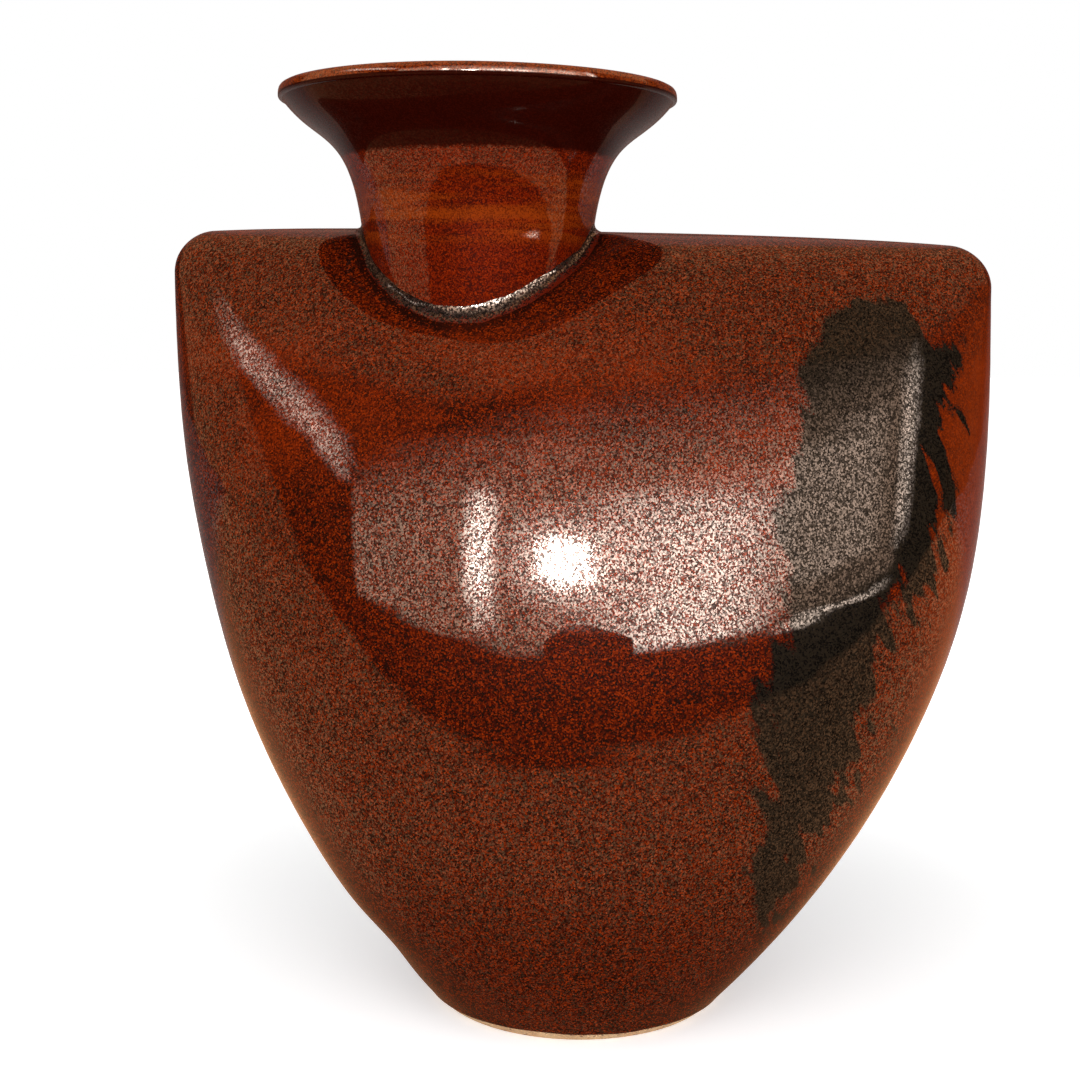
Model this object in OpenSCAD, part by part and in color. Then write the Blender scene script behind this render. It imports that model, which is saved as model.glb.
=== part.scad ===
// Sake bottle: a thrown stoneware body pinched to a ridge at the top, with a trumpet
// neck luted off-centre on its shoulder. Millimetres. It stands on z = 0 with the
// middle of its shoulders over the origin, and its front faces -Y.

/* [Body] */
// Width across the shoulders
body_w = 143; // [130:1:160]
// Depth at the belly, front to back
body_d = 76; // [68:1:90]
// Height of the pinched ridge
ridge_h = 136.5; // [126:0.5:148]
// Height at which the body is deepest
belly_z = 58; // [50:1:66]
// Thickness of the thrown wall
wall = 5; // [3.5:0.5:6.5]
// Radius of the corner of a shoulder, seen from the front
corner_r = 7.5; // [5:0.5:12]
// Plan exponent at mid-height, where 2 is an ellipse and more is squarer
plan_power = 2.2; // [2:0.05:2.6]
// How fast the two sides swell above the foot
side_swell = 2.7; // [2.2:0.05:3]
// How fast the front and the back swell above the foot
belly_swell = 4; // [3:0.1:5]
// Bow of both sides to the right
bow = 1.5; // [0:0.25:3]
// Bend of the left half of the ridge to the back, in degrees
ridge_bend = 5.5; // [0:0.5:10]
// Slope of the ridge down to the right, in degrees
ridge_tilt = 0.9; // [0:0.1:2]
// Fall of the ridge at its ends
ridge_crown = 1.5; // [0:0.1:3]
// Swell of the left shoulder past the right one
left_swell = 0.9; // [0:0.1:2]

/* [Foot] */
// Diameter of the standing ring
foot_d = 51; // [46:1:58]
// Width of the standing ring
foot_ring_w = 6; // [4:0.5:9]
// Depth of the hollow under the base
hollow_h = 1.5; // [0.5:0.25:3]
// Thickness of the base disc
base_t = 5; // [3.5:0.5:7]
// Bevel round the underside of the base disc
base_bevel = 0.8; // [0.4:0.1:1.5]

/* [Neck] */
// Height of the bottle at its lip
bottle_h = 160; // [154:1:172]
// Distance of the neck to the left of the middle
neck_offset = 18.2; // [8:0.2:24]
// Outer diameter of the neck at the root of its flare
neck_d = 40; // [36:0.2:44]
// Taper of the neck's outside down to the shoulder, in degrees
neck_taper = 4; // [0:0.5:6]
// Thickness of the neck's wall
neck_wall = 4; // [3:0.5:5]
// Height of the trumpet flare, lip included
flare_h = 24.5; // [20:0.5:28]
// Slope of the flare under the lip, from the vertical
flare_angle = 38; // [32:1:46]
// Outer diameter of the lip
lip_d = 68.4; // [60:0.4:74]
// Height of the lip's edge
lip_h = 2.2; // [1.6:0.1:3]
// Thickness of the lip
lip_t = 3; // [2.4:0.1:3.6]
// Radius of the lip's outer edge
lip_round = 0.6; // [0.3:0.1:0.9]

/* [Joints] */
// Reach of the luting coil up the neck and over the shoulder
coil_reach = 2.5; // [1.5:0.25:4]
// How far the shoulder is pressed down in front of the neck and behind it
joint_press = 2.6; // [0:0.2:4]
// Width of the pressed band round the neck
press_w = 13; // [8:1:18]
// Film of slip between luted faces
slip = 0.05; // [0.02:0.01:0.15]

/* [Hidden] */
$fn = 96;

foot_r = foot_d / 2;
seat_r = foot_r - foot_ring_w;
floor_z = hollow_h + base_t;
neck_r = neck_d / 2;
throat_r = neck_r - neck_wall;
lip_r = lip_d / 2;
flare_z = bottle_h - flare_h;
// Length over which the ridge's bend is rounded
bend_soft = 10;
// Lengths of the flare's two curve handles, as shares of its height
root_pull = 0.75;
lip_pull = 0.39;
// Curves of the flare's outside and inside, from the tube to the lip
flare_run = [sin(flare_angle), cos(flare_angle)] * lip_pull * flare_h;
outer_flare = flare([neck_r, flare_z], [lip_r - lip_round, bottle_h - lip_h], neck_taper);
inner_flare = flare([throat_r, flare_z], [lip_r - lip_t, bottle_h - lip_round], 0);
// Rings of the loft below and above the belly, and points round each ring
low_rings = 12;
high_rings = 16;
ring_points = 72;
// The rings close up to this angle of the elliptic shoulder, which leaves a thin cap
last_angle = 88.5;
// Steps round the coil, along its hollow face and along a curve of the neck
coil_steps = 72;
hollow_steps = 5;
curve_steps = 14;
// Halvings in the search for a point of a curve
halvings = 22;

// Cubic curve through four points
function bezier(p, t) =
    pow(1 - t, 3) * p[0] + 3 * pow(1 - t, 2) * t * p[1] + 3 * (1 - t) * t * t * p[2] + pow(t, 3) * p[3];

// The four points of a flare's curve, which leaves its root at an angle from the vertical
function flare(root, lip, angle) =
    [root, root + [sin(angle), cos(angle)] * root_pull * flare_h, lip - flare_run, lip];

// Radius that grows from r0 at the ground to r1 at height h, quickest at the ground
function swell(z, r0, r1, h, power) =
    r0 + (r1 - r0) * (1 - pow(1 - z / h, power));

// Half width at height z of the skin that lies inset under the surface
function half_width(z, inset) =
    let (shoulder = ridge_h - inset - corner_r)
    z < shoulder
        ? swell(z, foot_r, body_w / 2, ridge_h - corner_r, side_swell) - inset
        : body_w / 2 - inset - corner_r + sqrt(max(0, pow(corner_r, 2) - pow(z - shoulder, 2)));

// Half depth at height z of the skin that lies inset under the surface
function half_depth(z, inset) =
    z < belly_z
        ? swell(z, foot_r, body_d / 2, belly_z, belly_swell) - inset
        : (body_d / 2 - inset) * sqrt(max(0, 1 - pow((z - belly_z) / (ridge_h - inset - belly_z), 2)));

// Plan exponent: a circle at the ground, squarer at mid-height, an ellipse at the ridge
function plan(z) = 2 + (plan_power - 2) * sin(180 * z / ridge_h);

// How far the hand-pressed ridge lies under its level line, starting from the flat floor
function sag(x, z) =
    let (rise = max(0, z - floor_z) / (ridge_h - floor_z))
    x * tan(ridge_tilt) * pow(rise, 2) + ridge_crown * pow(2 * x / body_w, 4) * pow(rise, 8);

// How far the left half is swung to the back, with a soft bend at the middle
function swing(x, z) =
    tan(ridge_bend) * (norm([x, bend_soft]) - x) / 2 * pow(z / ridge_h, 3);

// Smooth step from 0 at a to 1 at b
function ease(v, a, b) =
    let (s = min(1, max(0, (v - a) / (b - a))))
    s * s * (3 - 2 * s);

// How far the shoulder is pressed down at a point of the plan, not at the ridge beside the neck
function press(x, y) =
    joint_press
        * (1 - ease(norm([x + neck_offset, y]), neck_r * 0.9, neck_r + press_w))
        * ease(abs(y), neck_r * 0.25, neck_r * 0.75);

// How far both sides lean to the right
function lean(z) =
    bow * pow(sin(180 * min(1, z / (ridge_h - corner_r))), 2);

// How far the left shoulder swells out at height z and turn t of a ring
function left_bulge(z, t) =
    left_swell * pow(max(0, -cos(t)), 2) * pow(z / ridge_h, 6);

function signed_pow(v, e) = sign(v) * pow(abs(v), e);

// One ring of the loft, a superellipse that is leaned, swung, sagged and pressed
function ring(z, inset) =
    let (e = 2 / plan(z), a = half_width(z, inset), b = half_depth(z, inset))
    [for (i = [0:ring_points - 1])
        let (
            t = 360 * i / ring_points,
            x = a * signed_pow(cos(t), e),
            across = x + lean(z) - left_bulge(z, t),
            deep = b * signed_pow(sin(t), e) + swing(x, z))
        [across, deep, z - sag(x, z) - (z > belly_z ? press(across, deep) : 0)]];

// Heights of the rings from z0 up to the ridge
function ring_heights(z0, top) = concat(
    [for (i = [0:low_rings - 1]) z0 + (belly_z - z0) * i / low_rings],
    [for (i = [0:high_rings]) belly_z + (top - belly_z) * sin(last_angle * i / high_rings)]);

// Height of the body's surface over a point of the plan, found by halving
function shoulder_z(x, y, low = belly_z, high = ridge_h, left = halvings) =
    let (z = (low + high) / 2, n = plan(z))
    left == 0 ? z - sag(x, z) - press(x, y)
    : pow(abs(x) / half_width(z, 0), n) + pow(abs(y - swing(x, z)) / half_depth(z, 0), n) < 1
        ? shoulder_z(x, y, z, high, left - 1)
        : shoulder_z(x, y, low, z, left - 1);

// Closed skin through rings of n points each, with flat ends
module loft(rings, n) {
    last = (len(rings) - 1) * n;
    polyhedron(
        [for (r = rings) each r],
        concat(
            [[for (i = [0:n - 1]) i]],
            [for (k = [0:len(rings) - 2], i = [0:n - 1])
                let (p = k * n + i, q = k * n + (i + 1) % n)
                each [[p, p + n, q], [q, p + n, q + n]]],
            [[for (i = [n - 1:-1:0]) last + i]]));
}

// The body as a solid block, inset under the surface, from height z0 up
module body_block(inset, z0) {
    loft([for (z = ring_heights(z0, ridge_h - inset)) ring(z, inset)], ring_points);
}

// Pinched wall with its standing ring, the seat of the base and the throat's hole
module body_wall() {
    color("#7d3018")
    difference() {
        body_block(0, 0);
        body_block(wall, floor_z);
        translate([0, 0, -1])
            cylinder(r = seat_r, h = floor_z + 2);
        translate([-neck_offset, 0, belly_z])
            cylinder(r = throat_r, h = bottle_h - belly_z);
    }
}

// Round floor luted into the standing ring, bevelled underneath
module base_disc() {
    disc_r = seat_r - slip;
    color("#c9a982")
    rotate_extrude()
        polygon([
            [0, hollow_h],
            [disc_r - base_bevel, hollow_h],
            [disc_r, hollow_h + base_bevel],
            [disc_r, floor_z],
            [0, floor_z]]);
}

// Half section of the neck: tube, trumpet flare and rounded lip
module neck_section() {
    root_z = min([for (a = [0:10:350]) shoulder_z(neck_r * cos(a) - neck_offset, neck_r * sin(a))]) - wall;
    polygon(concat(
        [[throat_r, root_z], [neck_radius(root_z), root_z]],
        [for (i = [0:curve_steps]) bezier(outer_flare, i / curve_steps)],
        [for (a = [-45:15:90]) [lip_r - lip_round, bottle_h - lip_round] + lip_round * [cos(a), sin(a)]],
        [for (i = [curve_steps:-1:0]) bezier(inner_flare, i / curve_steps)]));
}

// Thrown neck, its lower end cut to the saddle of the shoulder
module neck() {
    color("#8a3a1c")
    difference() {
        translate([-neck_offset, 0, 0])
            rotate_extrude()
                neck_section();
        body_block(0, 0);
    }
}

// Outer radius of the neck at height z, found by halving along its curve
function neck_radius(z, low = 0, high = 1, left = halvings) =
    let (t = (low + high) / 2, p = bezier(outer_flare, t))
    z <= flare_z ? neck_r - (flare_z - z) * tan(neck_taper)
    : left == 0 ? p[0]
    : p[1] < z
        ? neck_radius(z, t, high, left - 1)
        : neck_radius(z, low, t, left - 1);

// Radius at which the neck meets the shoulder in one direction, found by halving its height
function joint_radius(dir, low = belly_z, high = bottle_h, left = halvings) =
    let (z = (low + high) / 2, r = neck_radius(z))
    left == 0 ? r
    : shoulder_z(r * dir[0] - neck_offset, r * dir[1]) > z
        ? joint_radius(dir, z, high, left - 1)
        : joint_radius(dir, low, z, left - 1);

// Section of the coil at one angle: up the neck, then hollow down to the shoulder
function coil_ring(angle) =
    let (
        dir = [cos(angle), sin(angle)],
        on_shoulder = function (r) [r, shoulder_z(r * dir[0] - neck_offset, r * dir[1]) + slip],
        root_r = joint_radius(dir) + slip,
        corner = on_shoulder(root_r),
        top = [neck_radius(corner[1] + coil_reach) + slip, corner[1] + coil_reach],
        toe = on_shoulder(root_r + coil_reach),
        face = [for (i = [0:hollow_steps])
            let (t = i / hollow_steps)
            pow(1 - t, 2) * top + 2 * (1 - t) * t * (corner + (top + toe - 2 * corner) / 6) + t * t * toe])
    [for (p = concat([corner], face)) [p[0] * dir[0] - neck_offset, p[0] * dir[1], p[1]]];

// Clay coil worked round the joint and smoothed to a hollow fillet
module luting_coil() {
    n = hollow_steps + 2;
    rings = [for (k = [0:coil_steps - 1]) coil_ring(360 * k / coil_steps)];
    color("#4a3a34")
    polyhedron(
        [for (r = rings) each r],
        [for (k = [0:coil_steps - 1], i = [0:n - 1])
            let (
                j = (i + 1) % n,
                here = k * n,
                next = (k + 1) % coil_steps * n)
            each [[here + i, here + j, next + i], [here + j, next + j, next + i]]]);
}

body_wall();
base_disc();
neck();
luting_coil();
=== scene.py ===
"""Looks of a pinched stoneware sake bottle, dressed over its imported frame.

The forms are worked out in millimetres from the sizes of the part, and MM turns them
into the metres of the frame. The bottle stands on z = 0 with its front facing -Y.
"""

import logging
import math
from dataclasses import dataclass
from enum import Enum
from typing import Optional, Sequence, Union

import bpy
import numpy as np
from mathutils import Matrix, Vector

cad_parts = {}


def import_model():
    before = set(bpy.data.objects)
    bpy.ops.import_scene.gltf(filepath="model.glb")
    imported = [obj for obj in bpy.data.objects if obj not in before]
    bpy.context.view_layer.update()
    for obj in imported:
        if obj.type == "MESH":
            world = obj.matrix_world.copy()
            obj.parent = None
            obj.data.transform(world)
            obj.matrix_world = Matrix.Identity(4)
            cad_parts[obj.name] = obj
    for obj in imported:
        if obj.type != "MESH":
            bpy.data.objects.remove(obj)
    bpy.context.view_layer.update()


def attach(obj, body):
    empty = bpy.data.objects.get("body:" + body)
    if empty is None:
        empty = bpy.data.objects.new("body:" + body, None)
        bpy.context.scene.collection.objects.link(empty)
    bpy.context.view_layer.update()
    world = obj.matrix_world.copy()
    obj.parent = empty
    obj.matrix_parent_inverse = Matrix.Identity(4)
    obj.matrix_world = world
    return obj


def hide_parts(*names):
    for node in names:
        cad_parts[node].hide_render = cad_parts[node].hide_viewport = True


MM = 0.001
PICTURE_SIDE = 1080
GRAIN_DEPTH = 0.0003
CREASE = 50.0
LOG = logging.getLogger("sake_bottle")

Array = np.ndarray
Span = tuple[float, float]
Curve = tuple[Span, ...]
Colour = tuple[float, float, float, float]
Feed = Union["Wire", bpy.types.NodeSocket, float, Sequence[float]]


class Slot(Enum):
    """Material slots of the part's record."""

    GLAZE = "iron_red_glaze"
    DARK = "dark_glaze"
    CLAY = "bare_stoneware"


class Ends(Enum):
    """How the first or the last row of a skin closes."""

    OPEN = "open"
    FOLD = "fold"
    POINT = "point"


class LampRole(Enum):
    """Whether a lamp lights the bottle or only shows in its gloss."""

    LIGHTS = "lights"
    MIRRORED = "mirrored"


def paint(red: float, green: float, blue: float) -> Colour:
    """Linear colour of a display colour.

    Args:
        red: Display red, 0 to 255.
        green: Display green, 0 to 255.
        blue: Display blue, 0 to 255.

    Returns:
        The linear colour with full alpha.
    """
    shares = [value / 255.0 for value in (red, green, blue)]
    linear = [s / 12.92 if s <= 0.04045 else ((s + 0.055) / 1.055) ** 2.4 for s in shares]
    return (*linear, 1.0)


def ease(value: Array, low: float, high: float) -> Array:
    """Smooth step from 0 at low to 1 at high."""
    share = np.clip((value - low) / (high - low), 0.0, 1.0)
    return share * share * (3.0 - 2.0 * share)


def slope(degrees: float) -> float:
    """Rise over run of an angle."""
    return math.tan(math.radians(degrees))


def full_turn(count: int) -> Array:
    """Angles of evenly spaced places round a ring."""
    return np.linspace(0.0, 2.0 * np.pi, count, endpoint=False)


def hoop(radius: Array, turn: Array, z: Array, axis_x: float = 0.0) -> Array:
    """Points of rings about an upright axis.

    Args:
        radius: Radius at each turn, or one for all.
        turn: Angles round the ring, in radians.
        z: Height at each turn, or one for all.
        axis_x: Place of the axis.

    Returns:
        Points with a last axis of x, y, z.
    """
    x, y = radius * np.cos(turn) + axis_x, radius * np.sin(turn)
    return np.stack(np.broadcast_arrays(x, y, z), axis=-1)


def curve_points(corners: Sequence[Array], count: int) -> Array:
    """Points along a cubic curve.

    Args:
        corners: Its four control points, as radius and height.
        count: How many points.

    Returns:
        The points, one to a row.
    """
    share = np.linspace(0.0, 1.0, count)[:, None]
    rest = 1.0 - share
    first, second, third, last = corners
    low = rest**3 * first + 3.0 * rest**2 * share * second
    return low + 3.0 * rest * share**2 * third + share**3 * last


@dataclass(frozen=True)
class HandMarks:
    """Marks that throwing and pressing leave on a clay surface, in mm."""

    ring_height: float
    ring_pitch: float
    dent_height: float
    dent_span: float
    seed: float = 0.0
    dent_waves: int = 6

    def relief(self, points: Array) -> Array:
        """Height of the marks over a smooth surface.

        Args:
            points: Surface points, the last axis x, y, z.

        Returns:
            One height to a point.
        """
        x, y, z = points[..., 0], points[..., 1], points[..., 2]
        turn = np.arctan2(y, x)
        phase = 2.0 * np.pi * z / self.ring_pitch + turn + self.seed
        rings = 0.6 * np.sin(phase + 0.7 * np.sin(z / 9.0 + self.seed))
        rings += 0.4 * np.sin(1.73 * phase + 1.3 * np.sin(2.0 * turn))
        dents = np.zeros_like(z)
        for number in range(1, self.dent_waves + 1):
            angle = 2.4 * number + self.seed
            tilt = math.cos(1.7 * number + self.seed)
            span = self.dent_span * (0.7 + 0.12 * number)
            along = x * math.cos(angle) + y * math.sin(angle) + z * tilt
            dents += np.sin(2.0 * np.pi * along / span + 1.9 * number) / self.dent_waves
        return self.ring_height * rings + self.dent_height * dents


def skin_normals(rows: Array) -> Array:
    """Unit normals of a grid of rings that run anticlockwise, listed upwards.

    Args:
        rows: Points as (row, place in the ring, xyz).

    Returns:
        Normals of the same shape.
    """
    around = np.roll(rows, -1, axis=1) - np.roll(rows, 1, axis=1)
    normals = np.cross(around, np.gradient(rows, axis=0))
    length = np.linalg.norm(normals, axis=2, keepdims=True)
    return normals / np.maximum(length, 1e-9)


def lay_skin(
    name: str,
    rows: Array,
    first: Ends = Ends.OPEN,
    last: Ends = Ends.OPEN,
    loop: bool = False,
    crease: float = CREASE,
) -> bpy.types.Object:
    """Mesh object of quads through a grid of closed rings.

    Args:
        name: Name of the piece.
        rows: Points in mm as (row, place in the ring, xyz).
        first: How the first row closes.
        last: How the last row closes.
        loop: Whether the last row joins the first.
        crease: Angle in degrees over which an edge is shaded sharp.

    Returns:
        The new object, linked to the scene.
    """
    count, around = rows.shape[:2]
    index = np.arange(count * around).reshape(count, around)
    mirror = np.minimum(np.arange(around), (around - np.arange(around)) % around)
    for row, end in ((0, first), (-1, last)):
        if end is Ends.FOLD:
            index[row] = index[row][mirror]
        elif end is Ends.POINT:
            index[row] = index[row][0]
    lower = index if loop else index[:-1]
    upper = np.roll(index, -1, axis=0) if loop else index[1:]
    corners = [lower, np.roll(lower, -1, 1), np.roll(upper, -1, 1), upper]
    used, compact = np.unique(np.stack(corners, axis=-1), return_inverse=True)
    faces = [list(dict.fromkeys(quad)) for quad in compact.reshape(-1, 4).tolist()]
    mesh = bpy.data.meshes.new(name)
    mesh.from_pydata((rows.reshape(-1, 3)[used] * MM).tolist(), [], faces)
    mesh.polygons.foreach_set("use_smooth", np.ones(len(faces), bool))
    mesh.set_sharp_from_angle(angle=math.radians(crease))
    mesh.update()
    piece = bpy.data.objects.new(name, mesh)
    bpy.context.scene.collection.objects.link(piece)
    return piece


class ClayPart:
    """A piece of the bottle that stands for one node of the frame."""

    def build(self) -> bpy.types.Object:
        """The bare mesh of the piece."""
        raise NotImplementedError

    def place(self, node: str, slot: Slot, *finishes: bpy.types.Material) -> None:
        """Builds the piece, dresses it and puts it in the place of its node.

        Args:
            node: The node that it stands for.
            slot: Material slot of the record.
            finishes: Its materials, in the order of the mesh's own slots.
        """
        piece = self.build()
        materials = piece.data.materials
        while len(materials) < len(finishes):
            materials.append(None)
        for number, finish in enumerate(finishes):
            materials[number] = finish
        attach(piece, "root")
        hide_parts(node)
        faces = len(piece.data.polygons)
        LOG.info("%s stands for %s in %s, %d faces", piece.name, node, slot.value, faces)


@dataclass(frozen=True)
class PinchedBody(ClayPart):
    """The thrown wall: round at the foot, oval above it, pinched to a ridge. In mm."""

    width: float = 143.0
    depth: float = 76.0
    ridge_h: float = 136.5
    belly_z: float = 58.0
    wall: float = 5.0
    corner_r: float = 7.5
    plan_power: float = 2.2
    side_swell: float = 2.7
    belly_swell: float = 4.0
    bow: float = 1.5
    ridge_bend: float = 5.5
    bend_soft: float = 10.0
    ridge_tilt: float = 0.9
    ridge_crown: float = 1.5
    foot_r: float = 25.5
    seat_r: float = 19.5
    floor_z: float = 6.5
    throat_x: float = -18.2
    throat_r: float = 16.0
    throat_cut: Span = (90.0, 165.0)
    throat_sides: int = 120
    glaze_line: float = 1.35
    glaze_t: float = 0.24
    glaze_roll: float = 0.1
    glaze_tuck: float = 0.14
    joint_press: float = 2.6
    press_reach: Span = (18.0, 29.0)
    press_depth: Span = (3.0, 10.0)
    left_swell: float = 1.3
    left_trim: float = 1.2
    trim_z: float = 12.0
    trim_span: float = 6.0
    around: int = 400
    low_rows: int = 70
    high_rows: int = 108
    inner_low_rows: int = 16
    inner_high_rows: int = 28
    marks: HandMarks = HandMarks(0.01, 7.5, 0.22, 44.0)
    marks_from: Span = (3.0, 16.0)

    def half_width(self, z: Array, inset: float) -> Array:
        """Half width of a skin.

        Args:
            z: Heights.
            inset: How far the skin lies under the surface.

        Returns:
            The half width at each height.
        """
        shoulder = self.ridge_h - inset - self.corner_r
        level = np.clip(1.0 - z / (self.ridge_h - self.corner_r), 0.0, 1.0)
        spread = (self.width / 2 - self.foot_r) * (1.0 - level**self.side_swell)
        drop = np.sqrt(np.maximum(0.0, self.corner_r**2 - (z - shoulder) ** 2))
        corner = self.width / 2 - inset - self.corner_r + drop
        return np.where(z < shoulder, self.foot_r + spread - inset, corner)

    def half_depth(self, z: Array, inset: float) -> Array:
        """Half depth of a skin.

        Args:
            z: Heights.
            inset: How far the skin lies under the surface.

        Returns:
            The half depth at each height.
        """
        level = np.clip(1.0 - z / self.belly_z, 0.0, 1.0)
        spread = (self.depth / 2 - self.foot_r) * (1.0 - level**self.belly_swell)
        rise = (z - self.belly_z) / (self.ridge_h - inset - self.belly_z)
        high = (self.depth / 2 - inset) * np.sqrt(np.maximum(0.0, 1.0 - rise**2))
        return np.where(z < self.belly_z, self.foot_r + spread - inset, high)

    def plan(self, z: Array) -> Array:
        """Plan exponent at height z, where 2 is an ellipse."""
        return 2.0 + (self.plan_power - 2.0) * np.sin(np.pi * z / self.ridge_h)

    def sag(self, x: Array, z: Array) -> Array:
        """How far the hand-pressed ridge lies under its level line.

        Args:
            x: Places along the ridge.
            z: Heights.

        Returns:
            The drop at each point.
        """
        rise = np.maximum(0.0, z - self.floor_z) / (self.ridge_h - self.floor_z)
        tilt = x * slope(self.ridge_tilt) * rise**2
        return tilt + self.ridge_crown * (2.0 * x / self.width) ** 4 * rise**8

    def swing(self, x: Array, z: Array) -> Array:
        """How far the left half is swung to the back."""
        side = (np.hypot(x, self.bend_soft) - x) / 2.0
        return slope(self.ridge_bend) * side * (z / self.ridge_h) ** 3

    def press(self, x: Array, y: Array) -> Array:
        """How far the shoulder is pressed down round the neck at points of the plan."""
        away = ease(np.hypot(x - self.throat_x, y), *self.press_reach)
        return self.joint_press * (1.0 - away) * ease(np.abs(y), *self.press_depth)

    def skin(self, z: Array, turn: Array, inset: float = 0.0) -> Array:
        """Points of a skin.

        Args:
            z: Heights, in any shape that goes with turn.
            turn: Places round the ring, in radians.
            inset: How far the skin lies under the surface.

        Returns:
            Points with a last axis of x, y, z.
        """
        z, turn = np.broadcast_arrays(z, turn)
        power = 2.0 / self.plan(z)
        wide, deep = np.cos(turn), np.sin(turn)
        x = self.half_width(z, inset) * np.sign(wide) * np.abs(wide) ** power
        y = self.half_depth(z, inset) * np.sign(deep) * np.abs(deep) ** power
        side = np.minimum(1.0, z / (self.ridge_h - self.corner_r))
        lean = self.bow * np.sin(np.pi * side) ** 2
        left = np.maximum(0.0, -wide) ** 2
        lean += left * self.left_trim * np.exp(-(((z - self.trim_z) / self.trim_span) ** 2))
        lean -= left * self.left_swell * (z / self.ridge_h) ** 6
        across, back = x + lean, y + self.swing(x, z)
        pressed = np.where(z > self.belly_z, self.press(across, back), 0.0)
        return np.stack([across, back, z - self.sag(x, z) - pressed], axis=-1)

    def shoulder_z(self, x: Array, y: Array) -> Array:
        """Height of the surface over points of the plan, found by halving.

        Args:
            x: Plan x of each point.
            y: Plan y of each point.

        Returns:
            The heights.
        """
        low = np.full(np.shape(x), self.belly_z)
        high = np.full(np.shape(x), self.ridge_h)
        for _ in range(30):
            z = (low + high) / 2.0
            power = self.plan(z)
            depth = np.maximum(self.half_depth(z, 0.0), 1e-6)
            inside = (np.abs(x) / self.half_width(z, 0.0)) ** power
            inside += (np.abs(y - self.swing(x, z)) / depth) ** power
            low = np.where(inside < 1.0, z, low)
            high = np.where(inside < 1.0, high, z)
        return low - self.sag(x, low) - self.press(x, y)

    def glaze_edge(self, turn: Array) -> Array:
        """Height at which the glaze stops over the foot."""
        waves = 0.16 * np.sin(3.0 * turn + 0.6) + 0.1 * np.sin(7.0 * turn + 2.0)
        return self.glaze_line + waves + 0.05 * np.sin(17.0 * turn + 1.0)

    def outer_rows(self, turn: Array) -> Array:
        """Rows of the glazed skin from its edge at the foot up to the ridge.

        Args:
            turn: Places round the rows.

        Returns:
            The rows, with the rolled edge of the glaze and the hand marks.
        """
        edge = self.glaze_edge(turn)
        rise = np.linspace(0.0, 1.0, self.low_rows + 1)[:-1, None] ** 1.15
        low = edge + (self.belly_z - edge) * rise
        lift = np.sin(np.linspace(0.0, np.pi / 2.0, self.high_rows + 1))[:, None]
        high = self.belly_z + (self.ridge_h - self.belly_z) * lift + 0.0 * turn
        heights = np.concatenate([low, high])
        rows = self.skin(heights, turn)
        over_edge = heights - edge
        roll = self.glaze_roll * np.exp(-(((over_edge - 0.5) / 0.5) ** 2))
        roll -= self.glaze_tuck * np.exp(-((over_edge / 0.16) ** 2))
        marks = self.marks.relief(rows) * ease(heights, *self.marks_from)
        marks *= 1.0 - 0.75 * ease(heights, self.ridge_h - 5.0, self.ridge_h)
        marks[-1] = 0.0
        return rows + skin_normals(rows) * (marks + roll)[..., None]

    def bare_rows(self, turn: Array) -> Array:
        """Rows of unglazed clay: the seat, the standing ring and the band over it.

        Args:
            turn: Places round the rows.

        Returns:
            The rows, from the floor's seat round to the edge of the glaze.
        """
        ring = (
            (self.seat_r, self.floor_z),
            (self.seat_r, 3.0),
            (self.seat_r, 0.45),
            (self.seat_r + 0.15, 0.12),
            (self.seat_r + 0.5, 0.0),
            ((self.seat_r + self.foot_r) / 2.0, 0.0),
            (self.foot_r - 0.45, 0.0),
            (self.foot_r - 0.2, 0.1),
        )
        rows = [hoop(radius, turn, z) for radius, z in ring]
        rough = 0.03 * np.sin(23.0 * turn) + 0.02 * np.sin(61.0 * turn + 1.0)
        for share in (0.25, 0.45, 0.7, 0.92, 1.0):
            row = self.skin(self.glaze_edge(turn) * share, turn)
            row[:, :2] *= (1.0 - (self.glaze_t - rough) / self.foot_r)[:, None]
            rows.append(row)
        return np.array(rows)

    def inner_rows(self, turn: Array) -> Array:
        """Rows of the inside, from its ridge down to the floor.

        Args:
            turn: Places round the rows.

        Returns:
            The rows.
        """
        top = self.ridge_h - self.wall
        low = np.linspace(self.floor_z, self.belly_z, self.inner_low_rows + 1)[:-1]
        lift = np.sin(np.linspace(0.0, np.pi / 2.0, self.inner_high_rows + 1))
        heights = np.concatenate([low, self.belly_z + (top - self.belly_z) * lift])
        return self.skin(heights[::-1, None], turn, self.wall)

    def build(self) -> bpy.types.Object:
        """Closed wall with its throat cut out.

        Returns:
            The wall, its bare faces in the second material slot.
        """
        turn = full_turn(self.around)
        inner, bare = self.inner_rows(turn), self.bare_rows(turn)
        rows = np.concatenate([inner, bare, self.outer_rows(turn)])
        piece = lay_skin("pinched_wall", rows, Ends.FOLD, Ends.FOLD)
        first, last = len(inner), len(inner) + len(bare)
        kind = np.zeros(len(piece.data.polygons), np.int32)
        kind[first * self.around : last * self.around] = 1
        for _ in range(2):
            piece.data.materials.append(None)
        piece.data.polygons.foreach_set("material_index", kind)
        self.open_throat(piece)
        return piece

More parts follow.
